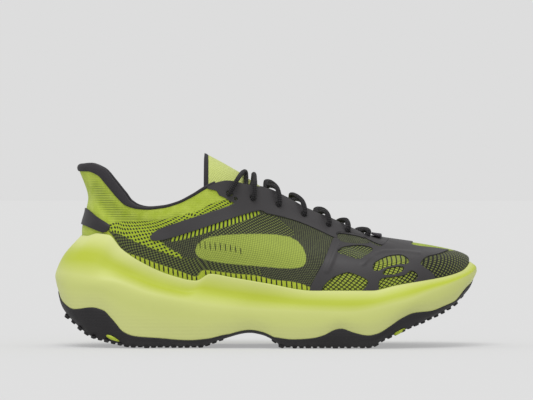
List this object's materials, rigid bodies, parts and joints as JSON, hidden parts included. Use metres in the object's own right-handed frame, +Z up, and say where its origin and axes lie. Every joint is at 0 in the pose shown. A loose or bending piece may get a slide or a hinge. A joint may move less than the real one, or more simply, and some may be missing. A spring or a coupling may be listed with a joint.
{
  "type": "running shoe",
  "caption": "Right-foot running shoe with a thick foam midsole, lugged rubber outsole, knit upper with bonded film overlays, padded collar, tongue and threaded lace.",
  "frame": {"origin": "centre of the shoe's bounding box at the ground, under the lugs", "axes": "+X from heel to toe, +Y to the inner (medial) side, +Z up"},
  "size_m": [0.31, 0.117, 0.142],
  "materials": {
    "rubber": "matte moulded rubber with a fine grain",
    "foam": "satin moulded foam skin",
    "board": "matte non-woven board",
    "padding": "open-cell foam",
    "lining": "matte brushed textile",
    "knit": "matte two-colour jacquard knit",
    "stiffener": "matte thermoplastic sheet",
    "film": "smooth matte bonded film",
    "lace": "braided cord",
    "aglet": "glossy tip",
    "webbing": "woven tape"
  },
  "bodies": {
    "shoe": {"outsole": "rubber", "midsole": "foam", "strobel_board": "board", "quarter_knit_lateral": "knit", "quarter_knit_medial": "knit", "vamp_knit": "knit", "heel_counter": "stiffener", "toe_puff": "stiffener", "collar_foam": "padding", "collar_lining": "lining", "eyestay_lateral": "film", "eyestay_medial": "film", "saddle_film_lateral": "film", "saddle_film_medial": "film", "forefoot_film": "film", "heel_band": "film", "lace": "lace", "aglet_first": "aglet", "aglet_second": "aglet", "throat_tab": "webbing"},
    "sockliner": {"sockliner_foam": "padding", "sockliner_cloth": "lining"},
    "tongue_blade": {"tongue_blade_cloth": "knit", "tongue_blade_lining": "lining"},
    "tongue_top": {"tongue_top_cloth": "knit", "tongue_top_foam": "padding", "tongue_top_lining": "lining", "tongue_end_binding": "lining"}
  },
  "joints": [
    {"name": "sockliner_lift", "type": "hinge", "parent": "shoe", "child": "sockliner", "pos_m": [0.135, 0, 0.05], "axis": [0, 1, 0], "range_deg": [0, 5]},
    {"name": "tongue_pivot", "type": "hinge", "parent": "shoe", "child": "tongue_blade", "pos_m": [0.094, 0, 0.071], "axis": [0, 1, 0], "range_deg": [-6, 0], "stiffness_Nm_per_rad": 0.6},
    {"name": "tongue_fold", "type": "hinge", "parent": "tongue_blade", "child": "tongue_top", "pos_m": [-0.021, 0, 0.118], "axis": [0, 1, 0], "range_deg": [-12, 20], "stiffness_Nm_per_rad": 0.08}
  ]
}
